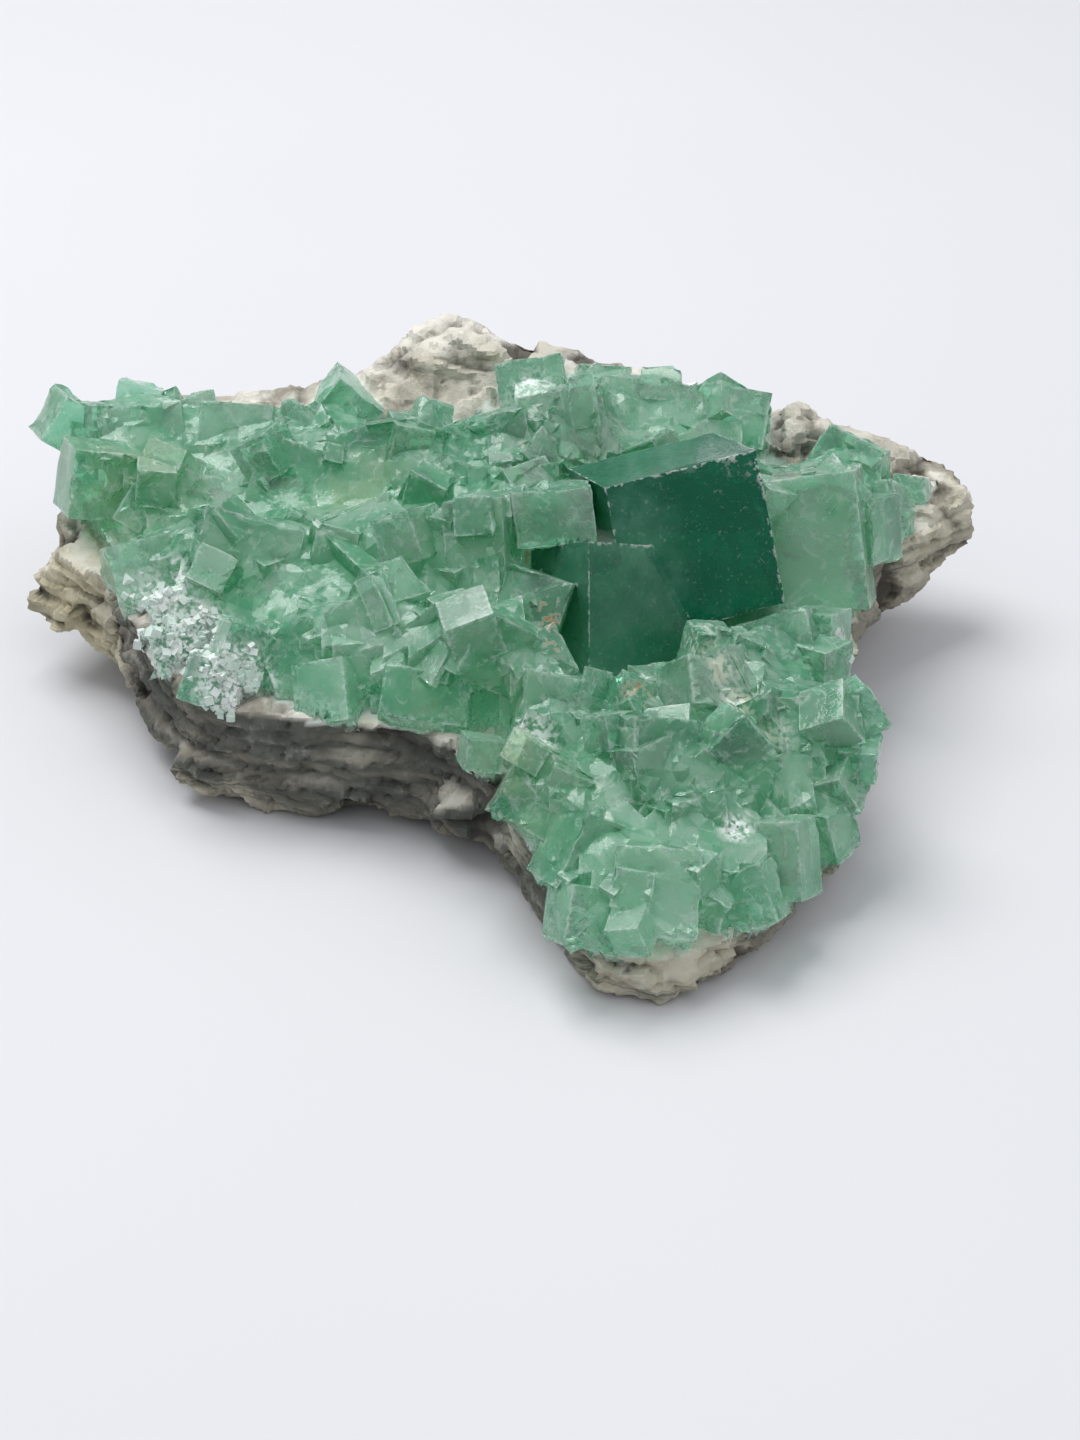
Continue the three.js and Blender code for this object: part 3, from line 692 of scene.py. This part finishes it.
def growCrystals(piece, lines, fillingPiece):
    tree, source = newTree("crystalGrowth", {
        "Crevices": "Object", "Filling": "Object",
        "Plate density": "Float", "Thinnest plate": "Float", "Thickest plate": "Float",
        "Twin density": "Float", "Twin depth": "Float", "Smallest twin": "Float", "Largest twin": "Float",
        "Bud spacing": "Float", "Smallest bud": "Float", "Largest bud": "Float", "Seed": "Int",
    })
    crustMesh = source.out("Geometry")
    seed = source.out("Seed")
    cube = source.node("GeometryNodeMeshCube", None, {"Size": (1, 1, 1)})

    # growth steps lie on faces of middling size, square with the crystal that carries them
    span = source.attribute("span")
    way = source.attribute("edgeDir", "FLOAT_VECTOR")
    carrying = span.math("GREATER_THAN", span, 0)
    points = source.node("GeometryNodeDistributePointsOnFaces", None, {
        "Mesh": crustMesh, "Selection": carrying,
        "Density": source.out("Plate density"), "Seed": seed})
    square = source.node("FunctionNodeAlignRotationToVector", {"axis": "X", "pivot_axis": "Z"},
                         {"Rotation": points.out("Rotation"), "Vector": way})
    long, wide = (source.between(*crust["plateSpan"], seed + step) for step in (1, 2))
    thick = source.between(source.out("Thinnest plate"), source.out("Thickest plate"), seed + 3)
    size = source.node("ShaderNodeCombineXYZ", None, {0: span * long, 1: span * wide, 2: thick})
    plates = points.placed(cube, square, size)

    # twins: corners of other cubes that stand out of the faces, turned any way
    spots = source.node("GeometryNodeDistributePointsOnFaces", None, {
        "Mesh": crustMesh, "Selection": carrying,
        "Density": source.out("Twin density"), "Seed": seed + 6})
    twinSize = source.between(source.out("Smallest twin"), source.out("Largest twin"), seed + 8)
    twins = spots.sunk(source.out("Twin depth")).placed(cube, source.anyTurn(seed + 7), twinSize)

    # small cubes stand in the crevices, turned any way
    fill = source.node("GeometryNodeObjectInfo", None, {"Object": source.out("Filling")}, "Geometry")
    info = source.node("GeometryNodeObjectInfo", None, {"Object": source.out("Crevices")}, "Geometry")
    curve = source.node("GeometryNodeMeshToCurve", None, {"Mesh": info})
    along = source.node("GeometryNodeCurveToPoints", {"mode": "LENGTH"},
                        {"Curve": curve, "Length": source.out("Bud spacing")})
    small = source.out("Smallest bud")
    share = source.between(0.0, 1.0, seed + 5) ** crust["budPower"]
    budSize = small + (source.out("Largest bud") - small) * share
    buds = along.placed(cube, source.anyTurn(seed + 4), budSize)

    whole = source.node("GeometryNodeMeshBoolean", {"operation": "UNION", "solver": "MANIFOLD"},
                        {"Mesh 2": [crustMesh, fill, plates, twins, buds]})
    last = source.node("GeometryNodeRealizeInstances", None, {"Geometry": whole})
    last = source.node("GeometryNodeSetMaterial", None, {"Geometry": last, "Material": fluoriteStuff})
    return runTree(piece, tree, last, {
        "Crevices": lines, "Filling": fillingPiece, "Plate density": crust["plateDensity"],
        "Thinnest plate": crust["plateThick"][0], "Thickest plate": crust["plateThick"][1],
        "Twin density": crust["twinDensity"], "Twin depth": crust["twinDepth"],
        "Smallest twin": crust["twinSize"][0], "Largest twin": crust["twinSize"][1],
        "Bud spacing": crust["budSpacing"], "Smallest bud": crust["budSize"][0],
        "Largest bud": crust["budSize"][1], "Seed": crust["seed"],
    })


# Takes away the loose bits that the joining leaves, which have fewer corners than the limit.
def dropScraps(mesh, fewest):
    bm = bmesh.new()
    bm.from_mesh(mesh)
    seen, scraps = set(), []
    for start in bm.verts:
        if start in seen:
            continue
        group, waiting = {start}, [start]
        while waiting:
            vert = waiting.pop()
            for edge in vert.link_edges:
                other = edge.other_vert(vert)
                if other not in group:
                    group.add(other)
                    waiting.append(other)
        seen |= group
        if len(group) < fewest:
            scraps += group
    bmesh.ops.delete(bm, geom=scraps, context="VERTS")
    bm.to_mesh(mesh)
    bm.free()


def finishCrystals(piece, rockTree):
    bm = bmesh.new()
    bm.from_mesh(piece.data)
    bmesh.ops.dissolve_limit(bm, angle_limit=crust["cleanAngle"], verts=bm.verts[:], edges=bm.edges[:])
    splitLongSides(bm, crust["finest"], crust["splitPasses"])
    print("crystals split:", len(bm.faces), "faces")

    picker = random.Random(crust["seed"])
    cubes = cubeFrames()
    tones, deeps = [0.0] * len(bm.faces), [0.0] * len(bm.faces)
    broken = {}
    for group in flatRegions(bm):
        tone = picker.random()
        rough = picker.random() < crust["brokenShare"]
        for face in group:
            centre = face.calc_center_median()
            tones[face.index] = tone
            for cube in reversed(cubes):
                if insideCube(centre, cube, crust["cubeSpare"]):
                    deeps[face.index] = cube[3]
            if deeps[face.index]:
                share = crust["evenDarkFace"]
            else:
                share = 1.0 if rough else crust["evenFace"]
            for vert in face.verts:
                broken[vert.index] = max(broken.get(vert.index, 0), share)

    # corners that stand out are chipped, and those that fold in are seams
    sharp, folded = {}, []
    for edge in bm.edges:
        angle = edge.calc_face_angle_signed(0) if edge.is_manifold else 0
        if angle > crust["edgeAngle"]:
            for vert in edge.verts:
                sharp[vert.index] = 1.0
        elif angle < -crust["seamAngle"]:
            folded.append((edge.verts[0].co + edge.verts[1].co) / 2)
    seamTree = KDTree(max(1, len(folded)))
    for index, point in enumerate(folded):
        seamTree.insert(point, index)
    seamTree.balance()

    seams, edges, rims, moves = [], [], [], []
    marks = [markNearness(vert.co, fluoriteMarks) for vert in bm.verts]
    grainy = [markNearness(vert.co, grainMarks)["grainy"] * crust["grainyGain"] for vert in bm.verts]
    for vert in bm.verts:
        seamGap = seamTree.find(vert.co)[2] or 1
        seams.append(max(0.0, 1 - seamGap / crust["seamReach"]))
        onEdge = sharp.get(vert.index, 0.0)
        edges.append(onEdge)
        close, way, _, gap = rockTree.find_nearest(vert.co)
        rims.append(max(0.0, 1 - gap / crust["rimReach"]))
        if gap < crust["buryReach"]:
            moves.append(close - way * crust["bury"])
            continue
        coarse = noise.noise(vert.co / crust["chipGrain"])
        chip = onEdge * crust["chip"] * max(0.0, coarse - 0.05) * 2 + onEdge * crust["edgeWear"]
        wave = crust["wave"] * noise.noise(vert.co / crust["waveGrain"]) * (1 - onEdge)
        wave += breakHeight(vert.co, crust["breakCell"], crust["breakTilt"]) * broken[vert.index] ** 2
        if onEdge:
            wave = max(-crust["mostWear"], min(wave, 0))  # a corner is only ever worn back
        moves.append(vert.co + vert.normal * (wave - chip))
    for vert, place in zip(bm.verts, moves):
        vert.co = place
    bm.to_mesh(piece.data)
    bm.free()
    writeLayer(piece.data, "tone", "FACE", tones)
    writeLayer(piece.data, "deep", "FACE", deeps)
    writeLayer(piece.data, "seam", "POINT", seams)
    writeLayer(piece.data, "edge", "POINT", edges)
    writeLayer(piece.data, "rim", "POINT", rims)
    for name in fluoriteMarks:
        writeLayer(piece.data, name, "POINT", [near[name] for near in marks])
    writeLayer(piece.data, "grainy", "POINT", [min(1.0, near) for near in grainy])
    dropScraps(piece.data, crust["scrapCorners"])
    piece.data.shade_smooth()
    piece.data.set_sharp_from_angle(angle=crust["smoothAngle"])


# Rock

rock = {
    "voxel": 0.43 * mm,
    "layerStep": 1.7 * mm,
    "layerTilt": (0.10, -0.06),  # rise of the layers along x and y
    "layerDepth": 0.8 * mm,
    "thinStep": 0.75 * mm,
    "thinDepth": 0.3 * mm,
    "lump": (3.4 * mm, 0.3 * mm),  # grain and height
    "chunk": (4.6 * mm, 0.40),  # cell and tilt of the broken facets
    "splinter": (1.7 * mm, 0.42),
    "crumb": (0.8 * mm, 0.16 * mm),
    "pitCell": 2.6 * mm,
    "pitDepth": 0.2 * mm,
    "druse": 0.35 * mm,
    "bulge": 0.4 * mm,  # most that the rough surface stands out from the plain one
    "layerWave": (8.0 * mm, 1.6 * mm),  # grain and height
    "ledgeGrain": 5.0 * mm,
    "pitGrain": 7.0 * mm,
    "pitWidth": 0.55,  # of a cell
    "crustReach": 0.7 * mm,  # rock this near the crust isn't raised
    "coverReach": 1.2 * mm,
    "hollowSpan": 1.7 * mm,
    "sugarGrain": 5.0 * mm,
    "smoothAngle": math.radians(20),
}


def shapeRock(piece, crustTree):
    remesh = piece.modifiers.new("even", "REMESH")
    remesh.mode = "VOXEL"
    remesh.voxel_size = rock["voxel"]
    settle(piece)
    bm = bmesh.new()
    bm.from_mesh(piece.data)
    bm.normal_update()
    hollows, walls, sugars, covers, moves = [], [], [], [], []
    marks = [markNearness(vert.co, rockMarks) for vert in bm.verts]
    tiltX, tiltY = rock["layerTilt"]
    waveGrain, waveHeight = rock["layerWave"]
    for vert in bm.verts:
        place, way = vert.co, vert.normal
        wall = clamp(1.35 - 1.5 * abs(way.z))
        level = place.z + tiltX * place.x + tiltY * place.y + waveHeight * noise.noise(place / waveGrain)
        step = (level / rock["layerStep"]) % 1
        ledge = rock["layerDepth"] * (step - 0.5) * (0.6 + 0.9 * noise.noise(place / rock["ledgeGrain"]))
        ledge += rock["thinDepth"] * ((level / rock["thinStep"]) % 1 - 0.5)
        lump = rock["lump"][1] * noise.noise(place / rock["lump"][0])
        chunk = breakHeight(place, *rock["chunk"])
        splinter = breakHeight(place, *rock["splinter"])
        crumb = rock["crumb"][1] * noise.noise(place / rock["crumb"][0])
        spaces = noise.voronoi(place / rock["pitCell"])[0]
        pitted = max(0.0, noise.noise(place / rock["pitGrain"]) + 0.15)
        pit = -rock["pitDepth"] * max(0.0, rock["pitWidth"] - spaces[0]) * 2 * pitted * wall
        druse = rock["druse"] * (spaces[1] - spaces[0] - 0.3) * (1 - wall)
        shift = min(ledge * wall + lump + chunk + splinter + crumb + pit + druse, rock["bulge"])
        beside = crustTree.find_nearest(place)[3] < rock["crustReach"]
        covers.append(1.0 if beside and crustTree.ray_cast(place, way, rock["coverReach"])[0] else 0.0)
        if beside:
            shift = min(shift, 0) * 0.5
        hollows.append(clamp(0.5 - shift / rock["hollowSpan"]))
        walls.append(wall)
        sugary = clamp(0.7 + noise.noise(place / rock["sugarGrain"]))
        sugars.append((1 - wall) * sugary if way.z > 0 else 0.0)
        target = place + way * shift
        target.z = max(target.z, 0.0)
        moves.append(target)
    for vert, place in zip(bm.verts, moves):
        vert.co = place
    bm.to_mesh(piece.data)
    bm.free()
    writeLayer(piece.data, "hollow", "POINT", hollows)
    writeLayer(piece.data, "wall", "POINT", walls)
    writeLayer(piece.data, "sugar", "POINT", sugars)
    writeLayer(piece.data, "covered", "POINT", covers)
    for name in rockMarks:
        writeLayer(piece.data, name, "POINT", [near[name] for near in marks])
    piece.data.shade_smooth()
    piece.data.set_sharp_from_angle(angle=rock["smoothAngle"])


# Sugary rim: small pale cubes, sunk a little, where the crust thins out

grains = {
    "colour": (0.92, 0.97, 0.94, 1),
    "green": (0.66, 0.90, 0.77, 1),
    "cream": (0.93, 0.91, 0.84, 1),
    "tintSize": 2.2 * mm,
    "fineSize": 0.25 * mm,
    "roughness": 0.08,
    "fineRough": 0.25,  # added where the fine pattern is strongest
    "bump": 0.2,
    "bumpDepth": 0.03 * mm,
    "transmission": 0.3,
    "ior": 1.434,
    "density": 4.5e6,  # per square metre where they lie closest
    "size": (0.18 * mm, 0.7 * mm),
    "sizePower": 2,  # most are small
    "sunk": 0.12 * mm,
    "seed": 3,
}


def grainMaterial(look):
    material, tree = newMaterial("sugaryGrains")
    place = tree.node("ShaderNodeTexCoord", None, None, "Object")
    tint = place.cloud(look["tintSize"], 3, 0.6)
    fine = place.cloud(look["fineSize"], 2, 0.6)
    body = (tint.ease(0.4, 0.68) * 0.8).mixed(look["colour"], look["green"])
    body = (fine.ease(0.55, 0.75) * 0.5).mixed(body, look["cream"])
    bump = tree.node("ShaderNodeBump", None, {
        "Strength": look["bump"], "Distance": look["bumpDepth"], "Height": fine,
    })
    surface = tree.node("ShaderNodeBsdfPrincipled", None, {
        "Base Color": body, "Roughness": look["roughness"] + look["fineRough"] * fine, "Normal": bump,
        "IOR": look["ior"], "Transmission Weight": look["transmission"],
    })
    tree.node("ShaderNodeOutputMaterial", None, {"Surface": surface})
    return material


def sowGrains(ground):
    piece = bpy.data.objects.new("sugaryGrains", ground.data.copy())
    bpy.context.scene.collection.objects.link(piece)
    tree, source = newTree("sowing", {
        "Density": "Float", "Sunk": "Float", "Smallest": "Float", "Largest": "Float", "Seed": "Int",
        "Stuff": "Material"})
    seed = source.out("Seed")
    density = source.attribute("grainy") * source.out("Density")
    spots = source.node("GeometryNodeDistributePointsOnFaces", None, {
        "Mesh": source.out("Geometry"), "Density": density, "Seed": seed})
    cube = source.node("GeometryNodeMeshCube", None, {"Size": (1, 1, 1)})
    small = source.out("Smallest")
    share = source.between(0.0, 1.0, seed + 2) ** grains["sizePower"]
    size = small + (source.out("Largest") - small) * share
    sown = spots.sunk(source.out("Sunk")).placed(cube, source.anyTurn(seed + 1), size)
    last = source.node("GeometryNodeRealizeInstances", None, {"Geometry": sown})
    last = source.node("GeometryNodeSetMaterial", None,
                       {"Geometry": last, "Material": source.out("Stuff")})
    return runTree(piece, tree, last, {
        "Density": grains["density"], "Sunk": grains["sunk"],
        "Smallest": grains["size"][0], "Largest": grains["size"][1],
        "Seed": grains["seed"], "Stuff": grainStuff,
    })


# Making the pieces

grainStuff = grainMaterial(grains)
fluoriteStuff = fluoriteMaterial(fluoriteLook)
rockStuff = rockMaterial(rockLook)

rockCad = mergedCopy("matrix")
rockTree = BVHTree.FromBMesh(rockCad)
crustCad = mergedCopy("fluorite_crystals")
crustTree = BVHTree.FromBMesh(crustCad)
levels = crustLevels(crustTree)
markFaces(crustCad, rockTree, levels)
lines = meshObject("creviceLines", creviceLines(crustCad, levels))
fillingPiece = meshObject("filling", fillingSolid(levels, rockTree))
crystals = meshObject("crystalCrust", crustCad)
growCrystals(crystals, lines, fillingPiece)
bpy.data.objects.remove(lines)
bpy.data.objects.remove(fillingPiece)
print("crystals grown:", len(crystals.data.polygons), "faces")
finishCrystals(crystals, rockTree)
print("crystals finished:", len(crystals.data.polygons), "faces")

rockPiece = meshObject("layeredRock", rockCad)
shapeRock(rockPiece, crustTree)
rockPiece.data.materials.append(rockStuff)
print("rock shaped:", len(rockPiece.data.polygons), "faces")

grainPiece = sowGrains(crystals)
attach(grainPiece, "root")
print("grains sown:", len(grainPiece.data.polygons), "faces")

for piece, node, slot in ((crystals, "fluorite_crystals", "fluorite"), (rockPiece, "matrix", "rock")):
    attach(piece, "root")
    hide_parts(node)

# Floor, light and camera

studio = {
    "floorSize": 3.0,
    "floorColour": (0.60, 0.60, 0.62, 1),
    "floorPatch": (0.64, 0.64, 0.66, 1),
    "floorPatchSize": 0.12,
    "floorRoughness": 0.8,
    "skyColour": (0.94, 0.96, 1.0, 1),
    "horizonColour": (0.16, 0.17, 0.18, 1),
    "skySpan": (-0.1, 0.75),  # heights, of 1, where the horizon's colour ends and the sky's begins
    "worldStrength": 0.75,
    "lights": {  # place, size in metres, watts
        "key": ((-0.18, 0.16, 0.55), 0.42, 3.0),
        "fill": ((0.35, -0.35, 0.45), 0.5, 0.6),
    },
    "cameraPlace": (3.321 * mm, -201.75 * mm, 123.0 * mm),
    "cameraPitch": 30.95,  # degrees below level
    "lens": 70,
}


def setStudio():
    material, tree = newMaterial("paleFloor")
    place = tree.node("ShaderNodeTexCoord", None, None, "Object")
    shade = place.cloud(studio["floorPatchSize"], 2).mixed(studio["floorColour"], studio["floorPatch"])
    surface = tree.node("ShaderNodeBsdfPrincipled", None,
                        {"Base Color": shade, "Roughness": studio["floorRoughness"]})
    tree.node("ShaderNodeOutputMaterial", None, {"Surface": surface})
    bm = bmesh.new()
    bmesh.ops.create_grid(bm, x_segments=8, y_segments=8, size=studio["floorSize"] / 2)
    floor = meshObject("floor", bm)
    floor.data.materials.append(material)

    world = bpy.data.worlds.new("softLight")
    world.use_nodes = True
    world.node_tree.nodes.clear()
    sky = Wire(world.node_tree)
    way = sky.node("ShaderNodeTexCoord", None, None, "Generated")
    height = way.node("ShaderNodeSeparateXYZ", None, {0: way}, "Z")
    shade = height.ease(*studio["skySpan"]).mixed(studio["horizonColour"], studio["skyColour"])
    glow = sky.node("ShaderNodeBackground", None, {"Color": shade, "Strength": studio["worldStrength"]})
    sky.node("ShaderNodeOutputWorld", None, {"Surface": glow})
    bpy.context.scene.world = world
    for name, (place, size, watts) in studio["lights"].items():
        lamp = bpy.data.lights.new(name, "AREA")
        lamp.size = size
        lamp.energy = watts
        holder = bpy.data.objects.new(name, lamp)
        holder.location = place
        holder.rotation_euler = (-Vector(place)).to_track_quat("-Z", "Y").to_euler()
        bpy.context.scene.collection.objects.link(holder)

    view = bpy.data.cameras.new("photoView")
    view.lens = studio["lens"]
    view.clip_start = 0.01
    camera = bpy.data.objects.new("photoView", view)
    camera.location = studio["cameraPlace"]
    camera.rotation_euler = (math.radians(90 - studio["cameraPitch"]), 0, 0)
    bpy.context.scene.collection.objects.link(camera)
    bpy.context.scene.camera = camera


setStudio()
bpy.context.scene.view_settings.view_transform = "Standard"
print("studio set")
